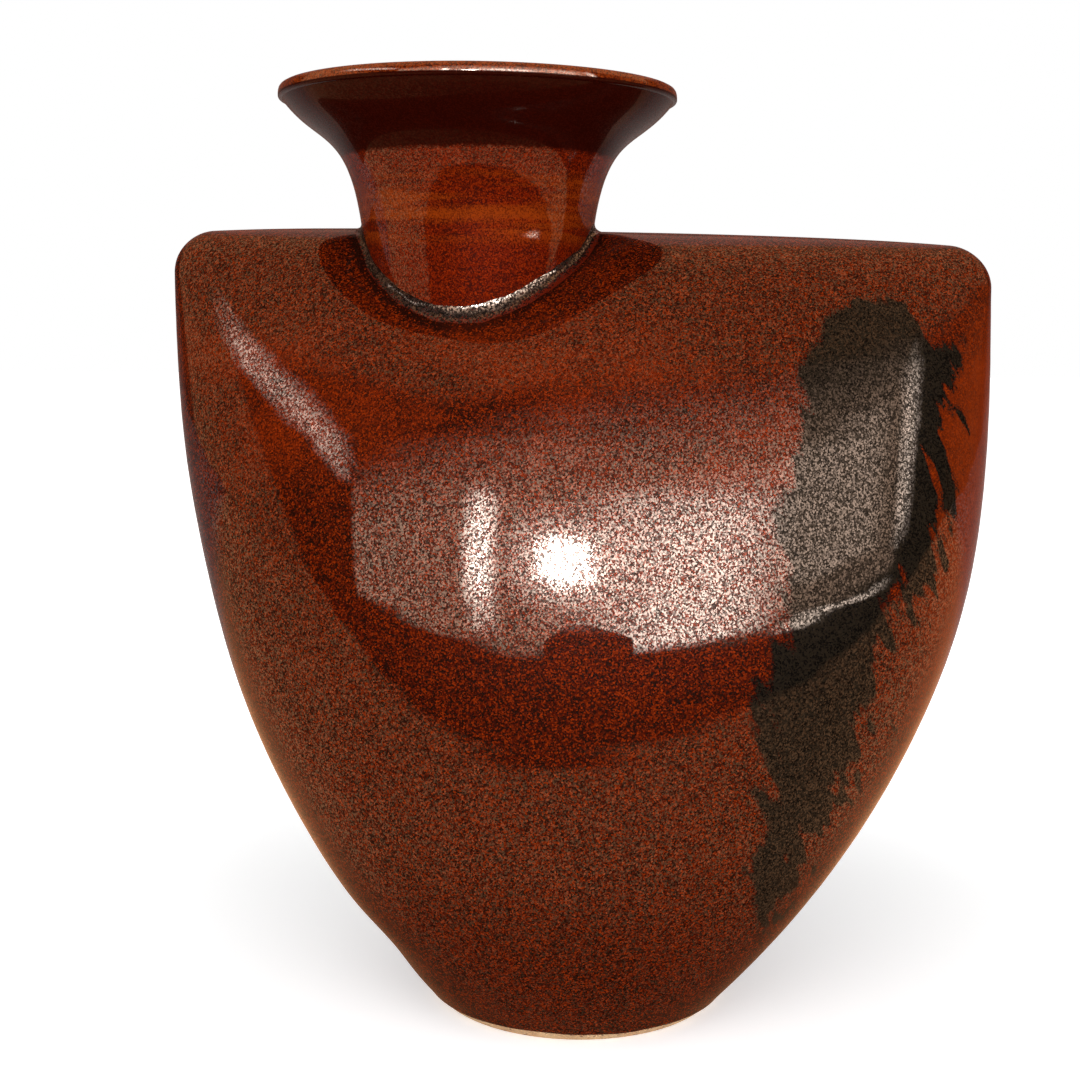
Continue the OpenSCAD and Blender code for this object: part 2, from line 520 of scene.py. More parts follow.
    def open_throat(self, piece: bpy.types.Object) -> None:
        """Cuts the round throat through the shoulder.

        Args:
            piece: The closed wall.
        """
        turn = full_turn(self.throat_sides)
        low, high = self.throat_cut
        bore = ((0.0, low), (self.throat_r, low), (self.throat_r, high), (0.0, high))
        rows = np.array([hoop(radius, turn, z, self.throat_x) for radius, z in bore])
        cutter = lay_skin("throat_cutter", rows, Ends.POINT, Ends.POINT)
        cut = piece.modifiers.new("throat", "BOOLEAN")
        cut.operation, cut.solver, cut.object = "DIFFERENCE", "EXACT", cutter
        graph = bpy.context.evaluated_depsgraph_get()
        opened = bpy.data.meshes.new_from_object(piece.evaluated_get(graph))
        piece.modifiers.clear()
        closed, piece.data = piece.data, opened
        opened.name = piece.name
        bpy.data.meshes.remove(closed)
        bpy.data.objects.remove(cutter)
        opened.set_sharp_from_angle(angle=math.radians(CREASE))


@dataclass(frozen=True)
class TrumpetNeck(ClayPart):
    """The thrown neck: a short tube, a trumpet flare and a rolled lip. In mm.

    The lip's roll is given as steps from its outermost radius and its full height.
    """

    body: PinchedBody
    offset: float = 18.2
    tube_r: float = 20.0
    throat_r: float = 16.0
    height: float = 160.0
    flare_h: float = 24.5
    flare_angle: float = 38.0
    taper: float = 6.6
    lip_r: float = 34.2
    lip_h: float = 2.2
    lip_t: float = 3.0
    arris: float = 0.7
    mouth_drop: float = 0.75
    lip_roll: Curve = (
        *((-0.35, -2.12), (-0.1, -1.98), (0.0, -1.78), (0.0, -1.3), (-0.05, -0.9), (-0.16, -0.52)),
        *((-0.38, -0.22), (-0.7, -0.05), (-1.1, 0.0), (-1.7, -0.05), (-2.3, -0.28), (-2.7, -0.5)),
    )
    root_pull: float = 0.75
    lip_pull: float = 0.39
    sink: float = 0.5
    rim_tilt: float = 0.05
    rim_lift: float = 0.2
    rim_wave: float = 0.08
    around: int = 320
    outer_rows: int = 110
    inner_rows: int = 90
    marks: HandMarks = HandMarks(0.006, 4.6, 0.02, 30.0, 1.3)
    marks_from: Span = (112.0, 122.0)
    marks_to: Span = (154.0, 157.5)
    bend_from: float = 140.0

    def flare(self, root_r: float, lip: Span, lean: float) -> Array:
        """Curve of one side of the flare as radius and height.

        Args:
            root_r: Radius of the tube.
            lip: Radius and height at the lip.
            lean: Angle from the vertical at which the curve leaves the tube.

        Returns:
            Points from the tube up to the lip.
        """

        def along(degrees: float, length: float) -> Array:
            """A step at an angle from the vertical."""
            angle = math.radians(degrees)
            return np.array([math.sin(angle), math.cos(angle)]) * length

        root, end = np.array([root_r, self.height - self.flare_h]), np.array(lip)
        rise = along(lean, self.root_pull * self.flare_h)
        run = along(self.flare_angle, self.lip_pull * self.flare_h)
        return curve_points((root, root + rise, end - run, end), 200)

    def outer_curve(self) -> Array:
        """Outside of the flare as radius and height."""
        edge = (self.lip_r - self.arris, self.height - self.lip_h)
        return self.flare(self.tube_r, edge, self.taper)

    def outer_radius(self, z: Array) -> Array:
        """Outer radius of the neck.

        Args:
            z: Heights.

        Returns:
            The radius at each height.
        """
        curve = self.outer_curve()
        drawn_in = slope(self.taper) * np.maximum(0.0, self.height - self.flare_h - z)
        return np.interp(z, curve[:, 1], curve[:, 0]) - drawn_in

    def saddle(self, radius: Array, turn: Array) -> Array:
        """Height of the shoulder under a ring of the neck."""
        x = radius * np.cos(turn) - self.offset
        return self.body.shoulder_z(x, radius * np.sin(turn))

    def root(self, turn: Array) -> tuple[Array, Array]:
        """Where the outside meets the shoulder.

        Args:
            turn: Places round the neck.

        Returns:
            Radius and height at each place.
        """
        radius = np.full_like(turn, self.tube_r)
        for _ in range(4):
            z = self.saddle(radius, turn)
            radius = self.outer_radius(z)
        return radius, z

    def build(self) -> bpy.types.Object:
        """The neck as one closed skin.

        Returns:
            The new object.
        """
        turn = full_turn(self.around)
        mouth = (self.lip_r - self.lip_t, self.height - self.mouth_drop)
        inner = self.flare(self.throat_r, mouth, 0.0)
        foot, top = self.root(turn)[1] - self.sink, self.outer_curve()[-1, 1]
        rows = []
        for share in np.linspace(0.0, 1.0, self.outer_rows):
            z = foot + (top - foot) * share
            rows.append((self.outer_radius(z), z))
        level = np.ones_like(turn)
        rows += [((self.lip_r + r) * level, (self.height + z) * level) for r, z in self.lip_roll]
        foot = self.saddle(self.throat_r * level, turn) - self.sink
        for share in np.linspace(1.0, 0.0, self.inner_rows):
            z = foot + (inner[-1, 1] - foot) * share
            rows.append((np.interp(z, inner[:, 1], inner[:, 0]), z))
        radius, z = np.array(rows).transpose(1, 0, 2)
        fade = ease(z, *self.marks_from) * (1.0 - 0.8 * ease(z, *self.marks_to))
        radius = radius + self.marks.relief(hoop(radius, turn, z)) * fade
        up = ease(z, self.bend_from, self.height)
        z = z - radius * np.cos(turn) * slope(self.rim_tilt) * up
        z = z + up * (self.rim_lift + self.rim_wave * np.sin(2.0 * turn + 0.8))
        points = hoop(radius, turn, z, -self.offset)
        return lay_skin("trumpet_neck", points, loop=True, crease=38.0)


@dataclass(frozen=True)
class LutingCoil(ClayPart):
    """The clay coil worked round the joint of neck and shoulder. In mm."""

    neck: TrumpetNeck
    reach: float = 1.8
    swell: float = 0.3
    swell_turn: float = -1.0
    sink: float = 0.03
    under: float = 0.5
    around: int = 360
    face_rows: int = 24

    def build(self) -> bpy.types.Object:
        """The coil as a closed ring with a hollow, finger-worked face.

        Returns:
            The new object.
        """
        turn = full_turn(self.around)
        press = 0.05 * np.sin(3.0 * turn + 0.4) + 0.02 * np.sin(8.0 * turn + 2.0)
        swell = self.swell * np.maximum(0.0, np.cos(turn - self.swell_turn)) ** 8
        reach = self.reach * (1.0 + press + swell)
        root_r, root_z = self.neck.root(turn)
        top_z = root_z + reach
        top_r = self.neck.outer_radius(top_z) - self.sink
        toe_r = root_r + reach
        toe_z = self.neck.saddle(toe_r, turn) - self.sink
        rows = []
        for share in np.linspace(0.0, 1.0, self.face_rows):
            rest = 1.0 - share
            radius = rest**2 * top_r + 2.0 * rest * share * root_r + share**2 * toe_r
            z = rest**2 * top_z + 2.0 * rest * share * root_z + share**2 * toe_z
            lump = 0.015 * np.sin(31.0 * turn + 5.0 * share)
            lump += 0.02 * np.sin(17.0 * turn - 7.0 * share + 1.0)
            lump *= math.sin(math.pi * share)
            rows.append((radius + lump, z + lump))
        rows.append((root_r - self.under, root_z - self.under))
        radius, z = np.array(rows[::-1]).transpose(1, 0, 2)
        return lay_skin("luted_joint", hoop(radius, turn, z, -self.neck.offset), loop=True)


@dataclass(frozen=True)
class BaseDisc(ClayPart):
    """The clay floor in the foot, with the spiral of the wire cut below. In mm."""

    radius: float = 19.45
    low: float = 1.5
    high: float = 6.5
    bevel: float = 0.8
    spiral_pitch: float = 1.9
    spiral_height: float = 0.09
    drag_height: float = 0.05
    around: int = 160
    under_rows: int = 76

    def build(self) -> bpy.types.Object:
        """The disc as one closed skin.

        Returns:
            The new object.
        """
        turn = full_turn(self.around)
        rows = []
        for radius in np.linspace(0.0, self.radius - self.bevel, self.under_rows):
            spiral = np.sin(2.0 * np.pi * radius / self.spiral_pitch - turn)
            fade = min(1.0, radius / 3.0) * min(1.0, (self.radius - radius) / 2.0)
            drag = self.drag_height * np.sin(5.0 * turn + radius) * fade
            rows.append((radius, self.low + self.spiral_height * spiral * fade + drag))
        rows += [
            (self.radius - 0.25, self.low + 0.4),
            (self.radius, self.low + self.bevel),
            (self.radius, self.high - 0.3),
            (self.radius - 0.3, self.high),
            (self.radius / 2.0, self.high),
            (0.0, self.high),
        ]
        grid = np.array([hoop(radius, turn, z) for radius, z in rows])
        return lay_skin("base_floor", grid, Ends.POINT, Ends.POINT)


class Wire:
    """A value in a node tree that takes part in plain arithmetic."""

    def __init__(self, graph: "Graph", socket: bpy.types.NodeSocket) -> None:
        """Keeps the socket and its graph."""
        self.graph, self.socket = graph, socket

    def __add__(self, other: Feed) -> "Wire":
        """Sum with a value."""
        return self.graph.math("ADD", self, other)

    def __sub__(self, other: Feed) -> "Wire":
        """Difference from a value."""
        return self.graph.math("SUBTRACT", self, other)

    def __rsub__(self, other: Feed) -> "Wire":
        """A number less this value."""
        return self.graph.math("SUBTRACT", other, self)

    def __mul__(self, other: Feed) -> "Wire":
        """Product with a value."""
        return self.graph.math("MULTIPLY", self, other)

    def __abs__(self) -> "Wire":
        """Size without its sign."""
        return self.graph.math("ABSOLUTE", self)


class Graph:
    """A node tree with short calls for the nodes that the finishes use."""

    def __init__(self, tree: bpy.types.NodeTree) -> None:
        """Keeps the tree to add nodes to."""
        self.tree = tree

    @classmethod
    def fresh(cls, owner: bpy.types.ID) -> "Graph":
        """Empty graph of a material, a lamp or a world.

        Args:
            owner: What the nodes belong to.

        Returns:
            Its graph.
        """
        owner.use_nodes = True
        owner.node_tree.nodes.clear()
        return cls(owner.node_tree)

    def add(
        self, kind: str, inputs: Optional[dict[Union[str, int], Feed]] = None, **settings: object
    ) -> bpy.types.Node:
        """Adds a node.

        Args:
            kind: Blender's name of the node type.
            inputs: Values or sockets by the name or number of the input.
            settings: Properties of the node.

        Returns:
            The new node.
        """
        node = self.tree.nodes.new(kind)
        for key, value in settings.items():
            setattr(node, key, value)
        self.fill(node, inputs or {})
        return node

    def fill(self, node: bpy.types.Node, inputs: dict[Union[str, int], Feed]) -> None:
        """Feeds a node's inputs by name or number."""
        for key, value in inputs.items():
            self.feed(node.inputs[key], value)

    def value(
        self,
        kind: str,
        inputs: Optional[dict[Union[str, int], Feed]] = None,
        output: Union[str, int] = 0,
        **settings: object,
    ) -> Wire:
        """One output of a new node."""
        return Wire(self, self.add(kind, inputs, **settings).outputs[output])

    def feed(self, socket: bpy.types.NodeSocket, value: Feed) -> None:
        """Links a value to an input, or sets the input's own value.

        Args:
            socket: The input.
            value: A wire, a socket or a plain value.
        """
        if isinstance(value, Wire):
            value = value.socket
        if isinstance(value, bpy.types.NodeSocket):
            self.tree.links.new(value, socket)
        else:
            socket.default_value = value

    def close(self, kind: str, surface: bpy.types.Node) -> None:
        """Ends the graph with an output node that shows a shader."""
        self.add(kind, {"Surface": surface.outputs[0]})

    def math(self, operation: str, a: Feed, b: Feed = 0.0, clamp: bool = False) -> Wire:
        """Result of a math node on two values."""
        return self.value("ShaderNodeMath", {0: a, 1: b}, operation=operation, use_clamp=clamp)

    def most(self, a: Feed, b: Feed) -> Wire:
        """The larger of two values."""
        return self.math("MAXIMUM", a, b)

    def blend(self, share: Feed, a: Feed, b: Feed) -> Wire:
        """Colour between a and b by share."""
        return self.value("ShaderNodeMix", {0: share, 6: a, 7: b}, 2, data_type="RGBA")

    def step(
        self, value: Feed, low: Feed, high: Feed, start: float = 0.0, end: float = 1.0
    ) -> Wire:
        """Smooth step of a value from start at low to end at high."""
        inputs = {"Value": value, "From Min": low, "From Max": high, "To Min": start, "To Max": end}
        return self.value("ShaderNodeMapRange", inputs, interpolation_type="SMOOTHSTEP")

    def noise(self, vector: Feed, scale: Feed, detail: float = 2.0, rough: float = 0.5) -> Wire:
        """Noise value over a vector, about 0.5 on average."""
        inputs = {"Vector": vector, "Scale": scale, "Detail": detail, "Roughness": rough}
        return self.value("ShaderNodeTexNoise", inputs)

    def axes(self, vector: Feed) -> list[Wire]:
        """The three parts of a vector or a colour."""
        node = self.add("ShaderNodeSeparateXYZ", {"Vector": vector})
        return [Wire(self, socket) for socket in node.outputs]

    def vector_math(self, operation: str, a: Feed, b: Feed = (0.0, 0.0, 0.0)) -> Wire:
        """Vector of a vector math node on two vectors."""
        return self.value("ShaderNodeVectorMath", {0: a, 1: b}, operation=operation)

    def length(self, vector: Feed) -> Wire:
        """Length of a vector."""
        return self.value("ShaderNodeVectorMath", {0: vector}, "Value", operation="LENGTH")

    def stretch(self, vector: Feed, factors: Feed) -> Wire:
        """Vector times one factor to an axis."""
        return self.vector_math("MULTIPLY", vector, factors)

    def millimetres(self) -> Wire:
        """Place on the object in mm."""
        place = self.value("ShaderNodeTexCoord", output="Object")
        return self.stretch(place, (1.0 / MM, 1.0 / MM, 1.0 / MM))

    def group(self, tree: bpy.types.NodeTree, inputs: dict[str, Feed]) -> dict[str, Wire]:
        """Outputs by name of a node group that is placed with its own values."""
        node = self.add("ShaderNodeGroup", inputs, node_tree=tree)
        return {socket.name: Wire(self, socket) for socket in node.outputs}

    def bump(self, shader: bpy.types.Node, height: Feed, strength: float) -> None:
        """Raises the surface of a shader by a height."""
        inputs = {"Height": height, "Strength": strength, "Distance": GRAIN_DEPTH}
        self.fill(shader, {"Normal": self.value("ShaderNodeBump", inputs)})

    def rays(self) -> tuple[Wire, Wire, Wire]:
        """Which rays reach a surface.

        Returns:
            Whether a ray is the camera's, a matt surface's or a mirroring surface's.
        """
        path = self.add("ShaderNodeLightPath").outputs
        mirrored = self.most(path["Is Glossy Ray"], path["Is Transmission Ray"])
        return Wire(self, path["Is Camera Ray"]), Wire(self, path["Is Diffuse Ray"]), mirrored


class GlazeGroups:
    """Node groups of effects that more than one finish shares, in mm."""

    SPECK_SOFT = 0.1
    CLOUD_SHARE = 0.4
    MOTTLE_SHARE = 0.5
    STREAK_LENGTH = 0.035
    THIN_RAGGED = 5.0
    SHOULDER_Z = 104.0
    SHOULDER_LEAN = 0.6

    def __init__(self) -> None:
        """Builds each group once."""
        self.speckle = self.build_speckle()
        self.streaks = self.build_streaks()
        self.thinning = self.build_thinning()

    @staticmethod
    def open_group(
        name: str, defaults: dict[str, float], outputs: Sequence[str]
    ) -> tuple[Graph, dict[str, Wire], bpy.types.Node]:
        """Starts a group with a Vector input, float inputs and float outputs.

        Args:
            name: Name of the group.
            defaults: Default of each float input.
            outputs: Names of the float outputs.

        Returns:
            Its graph, its inputs by name and its output node.
        """
        tree = bpy.data.node_groups.new(name, "ShaderNodeTree")
        face = tree.interface
        face.new_socket("Vector", in_out="INPUT", socket_type="NodeSocketVector")
        for key, value in defaults.items():
            socket = face.new_socket(key, in_out="INPUT", socket_type="NodeSocketFloat")
            socket.default_value = value
        for key in outputs:
            face.new_socket(key, in_out="OUTPUT", socket_type="NodeSocketFloat")
        graph = Graph(tree)
        enter, leave = graph.add("NodeGroupInput"), graph.add("NodeGroupOutput")
        given = {key: Wire(graph, enter.outputs[key]) for key in ("Vector", *defaults)}
        return graph, given, leave

    def build_speckle(self) -> bpy.types.NodeTree:
        """Fine grains: which are dark, orange or glassy, and their height.

        Returns:
            The group.
        """
        outputs = ("Dark", "Fleck", "Gloss", "Grain")
        graph, given, leave = self.open_group("glaze_speckle", {"Size": 0.35, "Cover": 0.4}, outputs)
        vector = given["Vector"]
        scale = graph.math("DIVIDE", 1.0, given["Size"])
        grains = graph.add("ShaderNodeTexVoronoi", {"Vector": vector, "Scale": scale})
        chance, fleck, gloss = graph.axes(grains.outputs["Color"])
        cloud = graph.noise(vector, 0.09, 3.0, 0.55) - 0.5
        mottle = graph.noise(vector, 0.6, 2.0, 0.5) - 0.5
        cover = given["Cover"] + cloud * self.CLOUD_SHARE + mottle * self.MOTTLE_SHARE
        dark = graph.step(chance - cover, self.SPECK_SOFT, -self.SPECK_SOFT)
        gloss = graph.math("POWER", gloss, 2.0)
        height = grains.outputs["Distance"]
        graph.fill(leave, {"Dark": dark, "Fleck": fleck, "Gloss": gloss, "Grain": height})
        return graph.tree

    def build_streaks(self) -> bpy.types.NodeTree:
        """Level streaks that follow the throwing.

        Returns:
            The group.
        """
        graph, given, leave = self.open_group("throwing_streaks", {"Pitch": 3.0}, ("Streak",))
        rise = graph.math("DIVIDE", 1.0, given["Pitch"])
        level = self.STREAK_LENGTH
        squeeze = graph.value("ShaderNodeCombineXYZ", {"X": level, "Y": level, "Z": rise})
        bands = graph.noise(graph.stretch(given["Vector"], squeeze), 1.0, 4.0, 0.6)
        graph.fill(leave, {"Streak": graph.step(bands, 0.38, 0.66)})
        return graph.tree

    def build_thinning(self) -> bpy.types.NodeTree:
        """Where glaze runs thin: over an edge between two heights, and to the right.

        Returns:
            The group, whose right-hand limit leans outwards over the shoulder.
        """
        defaults = {"From": 130.0, "To": 136.0, "Side From": 60.0, "Side To": 70.0}
        graph, given, leave = self.open_group("glaze_thinning", defaults, ("Thin",))
        vector = given["Vector"]
        x, _, z = graph.axes(vector)
        ragged = (graph.noise(vector, 0.35, 3.0, 0.6) - 0.5) * self.THIN_RAGGED
        top = graph.step(z + ragged, given["From"], given["To"])
        outwards = graph.most(z - self.SHOULDER_Z, 0.0) * self.SHOULDER_LEAN
        across = x - outwards + ragged
        side = graph.step(across, given["Side From"], given["Side To"])
        graph.fill(leave, {"Thin": graph.most(top, side)})
        return graph.tree


@dataclass(frozen=True)
class BrushStroke:
    """A broad tapered stroke of dark glaze on the front, in mm.

    Its centre line and half width are curves over the share of its length, each as a
    share of a span.
    """

    top_z: float = 124.0
    tip_z: float = 17.0
    hair_lean: float = 28.0
    left_fray: float = 12.0
    right_fray: float = 26.0
    fray_span: Span = (-2.0, 6.0)
    tip_fray: float = 12.0
    grain_fray: float = 1.6
    hair_scale: tuple[float, float, float] = (0.36, 0.2, 0.085)
    lock_scale: tuple[float, float, float] = (0.13, 0.1, 0.05)
    lock_share: float = 0.8
    front_y: Span = (0.0, -4.0)
    centre_from: float = 20.0
    centre_span: float = 40.0
    centre: Curve = ((0.0, 0.74), (0.2, 0.68), (0.45, 0.56), (0.75, 0.38), (1.0, 0.22))
    half_span: float = 16.0
    half: Curve = (
        *((0.0, 0.3), (0.05, 0.66), (0.15, 0.86), (0.33, 0.86)),
        *((0.5, 0.7), (0.72, 0.44), (0.9, 0.2), (1.0, 0.0)),
    )

    @staticmethod
    def profile(graph: Graph, share: Feed, points: Curve) -> Wire:
        """Value of a drawn curve.

        Args:
            graph: Graph of the material.
            share: Share of the stroke's length.
            points: Knots of the curve.

        Returns:
            The value at that share.
        """
        node = graph.add("ShaderNodeFloatCurve", {"Value": share})
        curve = node.mapping.curves[0]
        while len(curve.points) < len(points):
            curve.points.new(0.5, 0.5)
        for knot, place in zip(curve.points, points):
            knot.location = place
        node.mapping.update()
        return Wire(graph, node.outputs[0])

    def mask(self, graph: Graph, vector: Feed, grain: Wire) -> Wire:
        """Where the stroke covers the front.

        Args:
            graph: Graph of the material.
            vector: Place on the object in mm.
            grain: Fine grain of the glaze, which breaks the stroke's edge.

        Returns:
            1 inside the stroke, 0 outside, with ragged edges.
        """
        x, y, z = graph.axes(vector)
        lean = {"Vector": vector, "Angle": math.radians(self.hair_lean)}
        combed = graph.value("ShaderNodeVectorRotate", lean, rotation_type="Y_AXIS")
        hairs = graph.noise(graph.stretch(combed, self.hair_scale), 1.0)
        locks = graph.noise(graph.stretch(combed, self.lock_scale), 1.0)
        height = z + (hairs - 0.5) * self.tip_fray
        down = graph.math("DIVIDE", self.top_z - height, self.top_z - self.tip_z)
        centre = self.profile(graph, down, self.centre) * self.centre_span + self.centre_from
        half = self.profile(graph, down, self.half) * self.half_span
        across = x - centre
        spread = graph.step(across, *self.fray_span, self.left_fray, self.right_fray)
        average = 0.5 + 0.5 * self.lock_share
        fray = (hairs + locks * self.lock_share - average) * spread
        edge = half - abs(across) + fray + (grain - 0.5) * self.grain_fray
        within = graph.step(down, -0.03, 0.0) * graph.step(down, 1.0, 0.97)
        front = graph.step(y, *self.front_y)
        return graph.step(edge, -0.3, 0.4) * within * front


def joint_distance(graph: Graph, vector: Feed) -> Wire:
    """Distance of a place from the outside of the neck's tube, level with it.

    Args:
        graph: Graph of the material.
        vector: Place on the object in mm.

    Returns:
        The distance in mm.
    """
    apart = graph.vector_math("SUBTRACT", vector, (-TrumpetNeck.offset, 0.0, 0.0))
    level = graph.length(graph.stretch(apart, (1.0, 1.0, 0.0)))
    height = graph.axes(vector)[2]
    drawn_in = (TrumpetNeck.height - TrumpetNeck.flare_h - height) * slope(TrumpetNeck.taper)
    return level - (TrumpetNeck.tube_r - drawn_in)


def new_material(name: str) -> tuple[bpy.types.Material, Graph, bpy.types.Node]:
    """Material with a fresh Principled shader.

    Args:
        name: Name of the finish.

    Returns:
        The material, its graph and its shader.
    """
    material = bpy.data.materials.new(name)
    graph = Graph.fresh(material)
    shader = graph.add("ShaderNodeBsdfPrincipled")
    graph.close("ShaderNodeOutputMaterial", shader)
    return material, graph, shader


@dataclass(frozen=True)
class IronRedGlaze:
    """Rust-red iron glaze: dark specks under glass, orange where it is thin.

    Heights and sizes are in mm. Under a flare the colour is darkened with painted shade where the
    surface faces down, and the coat is thinned there.
    """

    name: str
    rust: Colour
    orange: Colour
    dark: Colour
    thin: Colour
    speck_size: float
    speck_cover: float
    thin_top: Span
    thin_side: Span
    streak: Colour
    streak_pitch: float
    streak_share: float
    streak_span: Span
    streak_fade: Span
    bump: float
    rough: Span
    glass: Span
    glass_rough: float
    glance: float
    lustre: float = 0.015
    thin_tint: float = 0.6
    thin_specks: float = 0.3
    thin_glass: float = 0.0
    joint_reach: Optional[Span] = None
    joint_cover: float = 0.9
    # Painted shade under the flare: its start height, colour, coat, specks and ragged edge.
    flare_shade_from: Optional[float] = None
    flare_shade: Colour = paint(40, 6, 2)
    flare_shade_glass: float = 0.12
    flare_shade_specks: float = 0.5
    flare_shade_ragged: float = 1.4
    stroke: Optional[BrushStroke] = None
    ink: Colour = paint(6, 5, 4)
    ash: Colour = paint(31, 25, 18)
    ink_glass: float = 0.65
    glance_span: Span = (0.42, 0.7)
    under_glass: float = 0.005

    def build(self, groups: GlazeGroups) -> bpy.types.Material:
        """The glaze as a material.

        Args:
            groups: The shared node groups.

        Returns:
            The material.
        """
        material, graph, shader = new_material(self.name)
        vector = graph.millimetres()
        cover = self.speck_cover
        if self.joint_reach:
            away = joint_distance(graph, vector)
            cover = graph.step(away, *self.joint_reach, self.joint_cover, self.speck_cover)
        grains = {"Vector": vector, "Size": self.speck_size, "Cover": cover}
        speck = graph.group(groups.speckle, grains)
        limits = dict(zip(("From", "To", "Side From", "Side To"), self.thin_top + self.thin_side))
        thin = graph.group(groups.thinning, {"Vector": vector, **limits})["Thin"]
        streak = self.streaking(graph, vector, groups)
        thick = graph.step(thin, 0.0, 1.0, 1.0, self.thin_specks) * (1.0 - streak)
        dark = speck["Dark"] * thick
        colour = graph.blend(graph.math("POWER", speck["Fleck"], 2.0), self.rust, self.orange)
        colour = graph.blend(streak, colour, self.streak)
        colour = graph.blend(thin * self.thin_tint, colour, self.thin)
        colour = graph.blend(dark, colour, self.dark)
        glassy = graph.step(speck["Gloss"], 0.0, 1.0, *self.glass)
        if self.thin_glass:
            glassy = graph.math("ADD", glassy, thin * self.thin_glass, clamp=True)
        # Painted shade under the flare: darker colour and a thinner coat where the surface faces down.
        if self.flare_shade_from:
            flare_shaded = self.flare_shade_mask(graph, vector)
            colour = graph.blend(flare_shaded, colour, self.flare_shade)
            colour = graph.blend(dark * self.flare_shade_specks, colour, self.dark)
            glassy = glassy * graph.step(flare_shaded, 0.0, 1.0, 1.0, self.flare_shade_glass)
        if self.stroke:
            inked = self.stroke.mask(graph, vector, speck["Fleck"])
            colour = graph.blend(inked, colour, graph.blend(speck["Dark"], self.ash, self.ink))
            glassy = glassy * graph.step(inked, 0.0, 1.0, 1.0, self.ink_glass)
        matt, gloss = self.rough
        facing = graph.value("ShaderNodeLayerWeight", output="Facing")
        even = (self.glance - glassy) * graph.step(facing, *self.glance_span)
        finish = {
            "Base Color": colour,
            "Roughness": graph.step(dark, 0.0, 1.0, gloss, matt),
            "Coat Weight": glassy + even,
            "Coat Roughness": self.glass_rough,
            "Metallic": self.lustre,
            "Specular IOR Level": self.under_glass,
        }
        graph.fill(shader, finish)
        graph.bump(shader, speck["Grain"], self.bump)
        return material

    def streaking(self, graph: Graph, vector: Feed, groups: GlazeGroups) -> Wire:
        """How much of the streak's colour shows.

        Args:
            graph: Graph of the material.
            vector: Place on the object in mm.
            groups: The shared node groups.

        Returns:
            A share that fades at both ends of the streaked span.
        """
        pitch = {"Vector": vector, "Pitch": self.streak_pitch}
        streak = graph.group(groups.streaks, pitch)["Streak"] * self.streak_share
        height = graph.axes(vector)[2]
        (low, high), (below, above) = self.streak_span, self.streak_fade
        among = graph.step(height, low - below, low) * graph.step(height, high, high - above)
        return streak * among

    def flare_shade_mask(self, graph: Graph, vector: Feed) -> Wire:
        """Where painted shade darkens the downward-facing underside of the flare.

        Args:
            graph: Graph of the material.
            vector: Place on the object in mm.

        Returns:
            1 where the painted shade lies.
        """
        ragged = (graph.noise(vector, 0.9, 3.0, 0.7) - 0.5) * self.flare_shade_ragged
        height = graph.axes(vector)[2] + ragged
        high = graph.step(height, self.flare_shade_from - 0.4, self.flare_shade_from + 0.5)
        tilt = graph.axes(graph.value("ShaderNodeNewGeometry", output="Normal"))[2]
        return high * graph.step(tilt, -0.02, -0.12)


@dataclass(frozen=True)
class DryJointGlaze:
    """Grey-black glaze that gathers over the luted joint, dry towards the shoulder.

    Reaches are in mm from the neck's tube, and the dry side is in mm along x.
    """

    name: str = "dry_dark_glaze"
    black: Colour = paint(8, 5, 4)
    grey: Colour = paint(48, 33, 28)
    rust: Colour = paint(88, 20, 4)
    speck_size: float = 0.24
    speck_cover: float = 0.7
    rust_reach: Span = (0.4, 1.6)
    rust_share: float = 0.9
    dry_toe: float = 0.15
    dry_side: Span = (-34.0, -14.0)
    dry_left: float = 0.35
    glass: Span = (0.01, 1.0)
    glass_rough: float = 0.1
    glass_ior: float = 1.8
    under_glass: float = 0.02
    rough: Span = (0.3, 0.5)
    bump: float = 0.3

    def build(self, groups: GlazeGroups) -> bpy.types.Material:
        """The glaze as a material.

        Args:
            groups: The shared node groups.

        Returns:
            The material.
        """
        material, graph, shader = new_material(self.name)
        vector = graph.millimetres()
        grains = {"Vector": vector, "Size": self.speck_size, "Cover": self.speck_cover}
        speck = graph.group(groups.speckle, grains)
        toe = graph.step(joint_distance(graph, vector), *self.rust_reach)
        reddish = graph.step(toe * self.rust_share - speck["Fleck"], -0.1, 0.1)
        colour = graph.blend(speck["Dark"], self.grey, self.black)
        colour = graph.blend(reddish, colour, self.rust)
        glassy = graph.step(speck["Gloss"], 0.1, 0.95, *self.glass)
        dry = graph.step(toe, 0.0, 1.0, 1.0, self.dry_toe)
        dry = dry * graph.step(graph.axes(vector)[0], *self.dry_side, self.dry_left, 1.0)
        finish = {
            "Base Color": colour,
            "Roughness": graph.step(speck["Dark"], 0.0, 1.0, *self.rough),
            "Coat Weight": glassy * dry,
            "Coat Roughness": self.glass_rough,
            "Coat IOR": self.glass_ior,
            "Specular IOR Level": self.under_glass,
        }
        graph.fill(shader, finish)
        graph.bump(shader, speck["Grain"], self.bump)
        return material


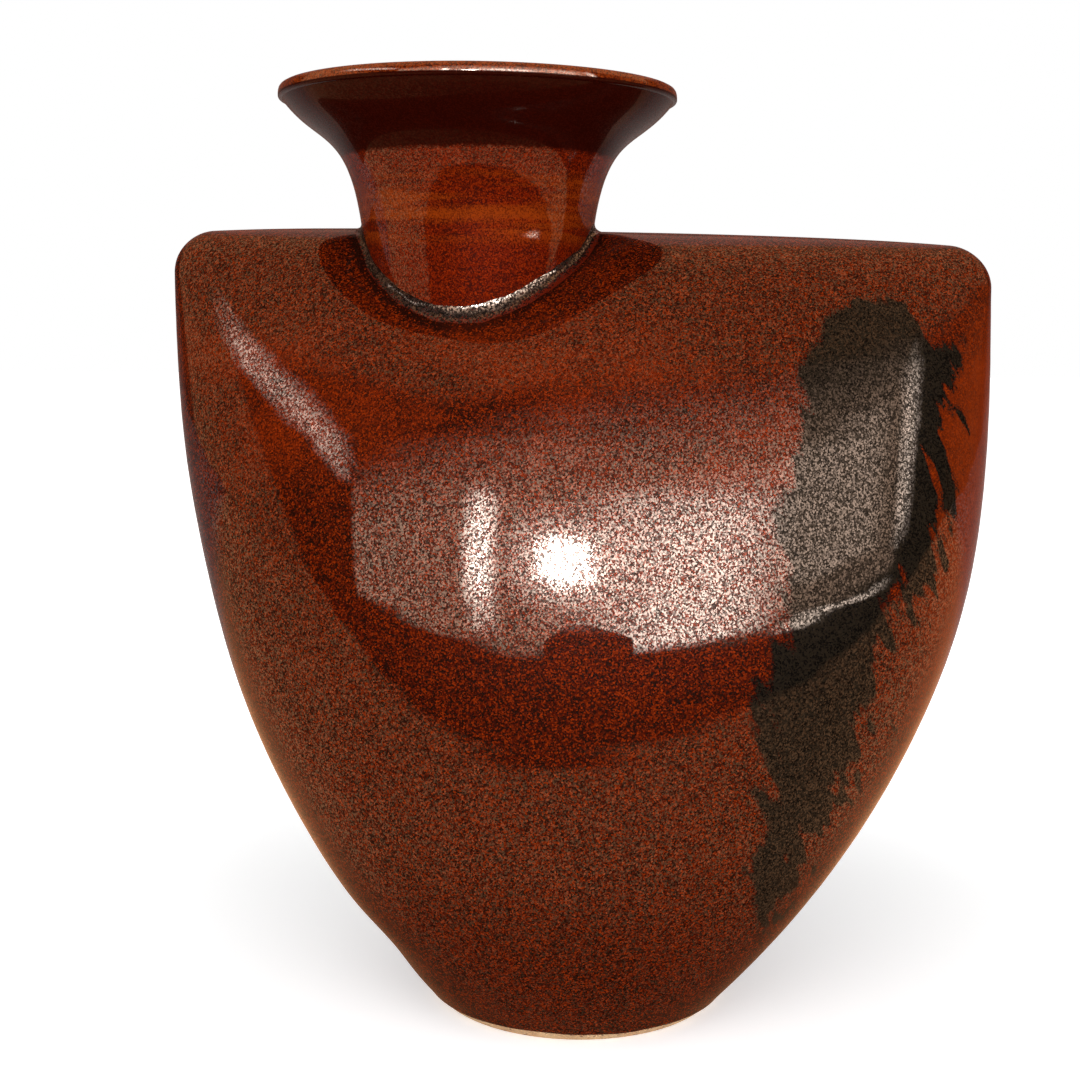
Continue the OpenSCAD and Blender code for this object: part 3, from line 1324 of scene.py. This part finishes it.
@dataclass(frozen=True)
class BareStoneware:
    """Unglazed tan stoneware with fine grog and iron specks."""

    name: str = "bare_stoneware"
    tan: Colour = paint(212, 180, 136)
    toast: Colour = paint(190, 150, 106)
    iron: Colour = paint(84, 58, 40)
    iron_size: float = 0.4
    iron_cover: float = 0.06
    iron_share: float = 0.7
    rough: Span = (0.82, 0.95)
    bump: float = 0.7

    def build(self, groups: GlazeGroups) -> bpy.types.Material:
        """The clay as a material.

        Args:
            groups: The shared node groups.

        Returns:
            The material.
        """
        material, graph, shader = new_material(self.name)
        vector = graph.millimetres()
        grains = {"Vector": vector, "Size": self.iron_size, "Cover": self.iron_cover}
        speck = graph.group(groups.speckle, grains)
        cloud = graph.step(graph.noise(vector, 0.25, 4.0, 0.6), 0.35, 0.65)
        colour = graph.blend(cloud, self.tan, self.toast)
        colour = graph.blend(speck["Dark"] * self.iron_share, colour, self.iron)
        rough = graph.step(cloud, 0.0, 1.0, *self.rough)
        graph.fill(shader, {"Base Color": colour, "Roughness": rough})
        graph.bump(shader, speck["Grain"], self.bump)
        return material


BODY_GLAZE = IronRedGlaze(
    name="iron_red_body",
    rust=paint(58, 10, 3),
    orange=paint(134, 42, 4),
    dark=paint(31, 9, 4),
    thin=paint(138, 46, 7),
    speck_size=0.24,
    speck_cover=0.4,
    thin_top=(134.5, 139.0),
    thin_side=(48.0, 68.0),
    streak=paint(150, 47, 6),
    streak_pitch=17.0,
    streak_share=0.3,
    streak_span=(101.0, 128.0),
    streak_fade=(10.0, 15.0),
    bump=0.1,
    rough=(0.35, 0.25),
    glass=(0.04, 1.0),
    glass_rough=0.035,
    glance=0.16,
    joint_reach=(1.6, 3.4),
    stroke=BrushStroke(),
)
NECK_GLAZE = IronRedGlaze(
    name="iron_red_neck",
    rust=paint(92, 17, 2),
    orange=paint(140, 40, 4),
    dark=paint(58, 11, 3),
    thin=paint(136, 56, 14),
    speck_size=0.19,
    speck_cover=0.4,
    thin_top=(156.5, 158.5),
    thin_side=(60.0, 74.0),
    streak=paint(152, 62, 10),
    streak_pitch=2.2,
    streak_share=0.6,
    streak_span=(135.5, 146.0),
    streak_fade=(3.0, 2.0),
    bump=0.05,
    rough=(0.3, 0.2),
    glass=(0.06, 0.9),
    glass_rough=0.03,
    glance=0.14,
    thin_specks=0.9,
    thin_glass=0.35,
    # Painted shade on the flare's underside from this height up.
    flare_shade_from=148.4,
)

HEART = Vector((0.0, -0.03, 0.085))
WHITE = (1.0, 1.0, 1.0)
PALE = (1.0, 0.85, 0.74)
ROSY = (1.0, 0.78, 0.64)
WARM = (1.0, 0.64, 0.45)
SOFT = (0.5, 0.5, 0.5)
HIGH_FADE = (0.05, 0.05, 0.6)
RIGHT_FADE = (0.3, 0.06, 0.3)
RAIL_FADE = (0.25, 0.3, 0.6)
LIT = LampRole.LIGHTS


@dataclass(frozen=True)
class Lamp:
    """A soft rectangular lamp, set out round the heart of the bottle.

    Azimuth runs from the front to the right and elevation upwards, in degrees, and
    lengths are in metres. A lamp faces the heart, or square out of its own azimuth.
    Its light fades over a share of its size at the two sides, the bottom and the top,
    and waver is the share by which that outline wanders.
    """

    name: str
    azimuth: float
    elevation: float
    distance: float
    width: float
    height: float
    radiance: float
    colour: tuple[float, float, float] = ROSY
    faces: Optional[float] = None
    role: LampRole = LampRole.MIRRORED
    fade: tuple[float, float, float] = (0.04, 0.04, 0.04)
    waver: float = 0.0

    @staticmethod
    def heading(azimuth: float, elevation: float) -> Vector:
        """Unit direction from the heart.

        Args:
            azimuth: Degrees from the front to the right.
            elevation: Degrees upwards.

        Returns:
            The direction.
        """
        turn, rise = math.radians(azimuth), math.radians(elevation)
        level = math.cos(rise)
        return Vector((level * math.sin(turn), -level * math.cos(turn), math.sin(rise)))

    def build(self) -> None:
        """Puts the lamp in the scene."""
        data = bpy.data.lights.new(self.name, "AREA")
        data.shape, data.size, data.size_y = "RECTANGLE", self.width, self.height
        data.energy = self.radiance * math.pi * self.width * self.height
        data.color = self.colour
        self.soften(data)
        lamp = bpy.data.objects.new(self.name, data)
        out = self.heading(self.azimuth, self.elevation)
        lamp.location = HEART + out * self.distance
        if self.faces is not None:
            out = self.heading(self.faces, 0.0)
        lamp.rotation_euler = (-out).to_track_quat("-Z", "Y").to_euler()
        lamp.visible_camera = False
        lamp.visible_diffuse = self.role is not LampRole.MIRRORED
        lamp.visible_glossy = self.role is not LampRole.LIGHTS
        bpy.context.scene.collection.objects.link(lamp)

    def soften(self, data: bpy.types.Light) -> None:
        """Lets the lamp's light fade towards its edges.

        Args:
            data: The lamp's light.
        """
        graph = Graph.fresh(data)
        spot = graph.value("ShaderNodeNewGeometry", output="Parametric")
        across, up = graph.axes(spot)[:2]
        if self.waver:
            ripple = {"Vector": spot, "Scale": 7.0, "Detail": 3.0}
            drift = graph.axes(graph.value("ShaderNodeTexNoise", ripple, "Color"))
            across = across + (drift[0] - 0.5) * self.waver
            up = up + (drift[1] - 0.5) * self.waver
        sides, bottom, top = self.fade
        level = graph.step(across, 0.0, sides) * graph.step(across, 1.0, 1.0 - sides)
        level = level * graph.step(up, 0.0, bottom) * graph.step(up, 1.0, 1.0 - top)
        graph.close("ShaderNodeOutputLight", graph.add("ShaderNodeEmission", {"Strength": level}))


@dataclass(frozen=True)
class Studio:
    """White ground, soft lamps, the camera, and the warm room that the gloss mirrors.

    The eye is in mm. Places on the floor are in metres, and spans of the room are parts
    of a unit direction. Levels are strengths of light, where 1 is white.
    """

    eye: tuple[float, float, float] = (-7.04, -292.07, 119.76)
    pitch: float = 7.32
    roll: float = 0.39
    focal_px: float = 1650.0
    floor_half: float = 4.0
    floor_tone: float = 0.8
    floor_mirrored: float = 0.03
    floor_seen: Span = (0.05, 0.3)
    floor_shaded: float = 0.5
    backdrop_y: Span = (0.12, 0.3)
    ambient: float = 0.3
    bounce: float = 0.35
    board_level: float = 2.3
    board_dark: float = 0.02
    board_edge: float = -0.22
    board_soft: float = 0.02
    board_left: float = -0.15
    board_flare: float = 0.6
    board_shade: Span = (0.03, 0.11)
    board_shaded: float = 0.25
    room_level: float = 1.9
    room_dark: float = 0.1
    sweep_level: float = 0.42
    sweep_y: Span = (0.56, 0.64)
    gap_y: Span = (0.46, 0.4)
    gap_z: Span = (0.35, 0.55)
    ceiling_z: Span = (0.28, 0.56)
    ceiling_slope: float = 0.45
    left_wall: Span = (-0.56, -0.48)
    wall_slant: float = 0.7
    left_share: float = 0.82
    right_wall: Span = (-0.25, 0.0)
    right_share: float = 0.22
    wall_turn: float = 0.2
    card_half: Span = (0.12, 0.08)
    card_way: Span = (-0.5, -4.2)
    card_distance: float = 0.8
    card_shape: Curve = (
        *((-1.0, -1.0), (1.0, -1.0), (0.8, 0.5), (0.4, 0.78)),
        *((-0.1, 1.0), (-0.5, 0.9), (-0.85, 0.4)),
    )
    white: Colour = (1.0, 1.0, 1.0, 1.0)
    room_tint: Colour = (1.0, 0.47, 0.22, 1.0)
    sweep_tint: Colour = (1.0, 0.58, 0.46, 1.0)
    lamps: tuple[Lamp, ...] = (
        Lamp("key", -8.0, 48.0, 1.3, 1.5, 1.2, 2.7, WHITE, role=LIT),
        Lamp("fill", 45.0, 12.0, 1.3, 1.4, 0.8, 0.7, WHITE, role=LIT),
        Lamp("window", -11.1, 23.2, 1.18, 3.0, 1.1, 7.4, WARM, 23.0, fade=HIGH_FADE, waver=0.1),
        Lamp("window_right", 47.0, 17.0, 0.9, 0.5, 0.5, 8.2, ROSY, 40.0, fade=RIGHT_FADE, waver=0.1),
        Lamp("window_core", 17.0, 13.5, 0.85, 0.7, 0.52, 27.0, PALE, 17.0, fade=(0.4, 0.05, 0.5)),
        Lamp("flash", -4.6, 10.3, 0.42, 0.085, 0.085, 420.0, PALE, fade=SOFT),
        Lamp("flash_halo", -4.6, 10.3, 0.43, 0.19, 0.18, 36.0, PALE, fade=SOFT),
        Lamp("window_bar", -18.0, 11.4, 0.6, 0.08, 0.32, 60.0, PALE, fade=(0.5, 0.4, 0.4)),
        Lamp("right_strip", 68.0, 17.0, 0.6, 0.09, 0.38, 24.0, fade=(0.5, 0.2, 0.4), waver=0.3),
        Lamp("right_sill", 50.0, -4.4, 0.9, 0.59, 0.033, 28.0, fade=(0.3, 0.4, 0.4)),
        Lamp("left_rail", -61.0, 28.5, 0.78, 0.62, 0.2, 12.0, ROSY, -90.0, fade=RAIL_FADE, waver=0.25),
    )

    def build_camera(self) -> None:
        """Camera at the viewing angle, with no shift."""
        data = bpy.data.cameras.new("camera")
        data.sensor_fit, data.sensor_width = "HORIZONTAL", 36.0
        data.lens = data.sensor_width * self.focal_px / PICTURE_SIDE
        data.clip_start = 0.01
        pitch, roll = math.radians(self.pitch), math.radians(self.roll)
        ahead = Vector((0.0, math.cos(pitch), -math.sin(pitch)))
        level, rise = Vector((1.0, 0.0, 0.0)), Vector((0.0, math.sin(pitch), math.cos(pitch)))
        right = math.cos(roll) * level + math.sin(roll) * rise
        up = math.cos(roll) * rise - math.sin(roll) * level
        camera = bpy.data.objects.new("camera", data)
        turn = Matrix((right, up, -ahead)).transposed().to_4x4()
        camera.matrix_world = Matrix.Translation(Vector(self.eye) * MM) @ turn
        bpy.context.scene.collection.objects.link(camera)
        bpy.context.scene.camera = camera

    @staticmethod
    def stage_sheet(
        name: str, corners: Sequence[Sequence[float]], material: bpy.types.Material
    ) -> bpy.types.Object:
        """Flat sheet that is not part of the object.

        Args:
            name: Name of the sheet.
            corners: Its outline in metres.
            material: Its finish.

        Returns:
            The sheet.
        """
        mesh = bpy.data.meshes.new(name)
        mesh.from_pydata(corners, [], [tuple(range(len(corners)))])
        mesh.materials.append(material)
        sheet = bpy.data.objects.new(name, mesh)
        bpy.context.scene.collection.objects.link(sheet)
        return sheet

    def build_floor(self) -> None:
        """Pale floor that is white to the camera, keeps the shadow and is clear from below."""
        material = bpy.data.materials.new("white_floor")
        graph = Graph.fresh(material)
        camera, diffuse, mirrored = graph.rays()
        place = graph.value("ShaderNodeNewGeometry", output="Position")
        across, back = graph.axes(place)[:2]
        away = graph.length(place)
        behind = graph.step(back, *self.backdrop_y)
        before = 1.0 - behind
        tone = self.floor_tone - mirrored * before * (self.floor_tone - self.floor_mirrored)
        shade = graph.value("ShaderNodeCombineXYZ", {"X": tone, "Y": tone, "Z": tone})
        matt = graph.add("ShaderNodeBsdfDiffuse", {"Color": shade})
        flared = back + graph.most(self.board_left - across, 0.0) * self.board_flare
        low, high = self.board_edge - self.board_soft, self.board_edge + self.board_soft
        board = graph.step(flared, low, high, self.board_dark, self.board_level)
        board = board * graph.step(away, *self.board_shade, self.board_shaded, 1.0) * before
        lit = mirrored * graph.most(board, behind * self.sweep_level)
        plain = graph.step(away, *self.floor_seen, self.floor_shaded, 1.0)
        lit = graph.most(lit, camera * plain)
        lit = graph.most(lit, diffuse * self.bounce)
        seen = graph.blend(behind, self.room_tint, self.sweep_tint)
        tint = graph.blend(mirrored, self.white, seen)
        glow = graph.add("ShaderNodeEmission", {"Color": tint, "Strength": lit})
        both = graph.add("ShaderNodeAddShader", {0: matt.outputs[0], 1: glow.outputs[0]})
        below = graph.value("ShaderNodeNewGeometry", output="Backfacing")
        clear = graph.add("ShaderNodeBsdfTransparent")
        layers = {"Fac": below, 1: both.outputs[0], 2: clear.outputs[0]}
        graph.close("ShaderNodeOutputMaterial", graph.add("ShaderNodeMixShader", layers))
        half = self.floor_half
        corners = [(-half, -half, 0), (half, -half, 0), (half, half, 0), (-half, half, 0)]
        self.stage_sheet("floor", corners, material)

    def build_card(self) -> None:
        """Dark card under the flash, which shows in the gloss and nowhere else."""
        material, graph, shader = new_material("black_card")
        graph.fill(shader, {"Base Color": paint(20, 16, 16), "Roughness": 1.0})
        wide, high = self.card_half
        corners = [(x * wide, 0.0, z * high) for x, z in self.card_shape]
        card = self.stage_sheet("dark_card", corners, material)
        card.location = HEART + Lamp.heading(*self.card_way) * self.card_distance
        card.visible_camera = card.visible_diffuse = card.visible_shadow = False

    def build_world(self) -> None:
        """Room that is white to the camera, and warm with dark parts in the gloss."""
        world = bpy.data.worlds.new("white_room")
        graph = Graph.fresh(world)
        camera, _, mirrored = graph.rays()
        x, y, z = graph.axes(graph.value("ShaderNodeTexCoord", output="Generated"))
        ceiling = graph.step(z + y * self.ceiling_slope, *self.ceiling_z)
        left = graph.step(y - z * self.wall_slant, *self.left_wall, 0.0, self.left_share)
        left = left * graph.step(x, self.wall_turn, 0.0)
        right = graph.step(y, *self.right_wall, 0.0, self.right_share)
        right = right * graph.step(x, 0.0, self.wall_turn)
        room = graph.most(ceiling, graph.most(left, right))
        room = room * graph.most(graph.step(y, *self.gap_y), graph.step(z, *self.gap_z))
        room = graph.step(room, 0.0, 1.0, self.room_dark, self.room_level)
        sweep = graph.step(y, *self.sweep_y)
        backdrop = graph.most(sweep * self.sweep_level, room)
        level = (1.0 - mirrored) * self.ambient + mirrored * backdrop
        seen = graph.blend(sweep, self.room_tint, self.sweep_tint)
        tint = graph.blend(mirrored, self.white, seen)
        sky = {"Color": tint, "Strength": graph.most(level, camera)}
        graph.close("ShaderNodeOutputWorld", graph.add("ShaderNodeBackground", sky))
        bpy.context.scene.world = world

    def build(self) -> None:
        """The whole studio."""
        self.build_camera()
        self.build_floor()
        self.build_card()
        self.build_world()
        for lamp in self.lamps:
            lamp.build()


def main() -> None:
    """Builds the pieces, dresses them and sets up the studio."""
    logging.basicConfig(level=logging.INFO, format="%(name)s: %(message)s")
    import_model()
    bpy.context.scene.view_settings.view_transform = "Standard"

    groups = GlazeGroups()
    clay = BareStoneware().build(groups)
    body = PinchedBody()
    neck = TrumpetNeck(body)
    body.place("body_wall", Slot.GLAZE, BODY_GLAZE.build(groups), clay)
    neck.place("neck", Slot.GLAZE, NECK_GLAZE.build(groups))
    LutingCoil(neck).place("luting_coil", Slot.DARK, DryJointGlaze().build(groups))
    BaseDisc().place("base_disc", Slot.CLAY, clay)

    Studio().build()


if __name__ == "__main__":
    main()
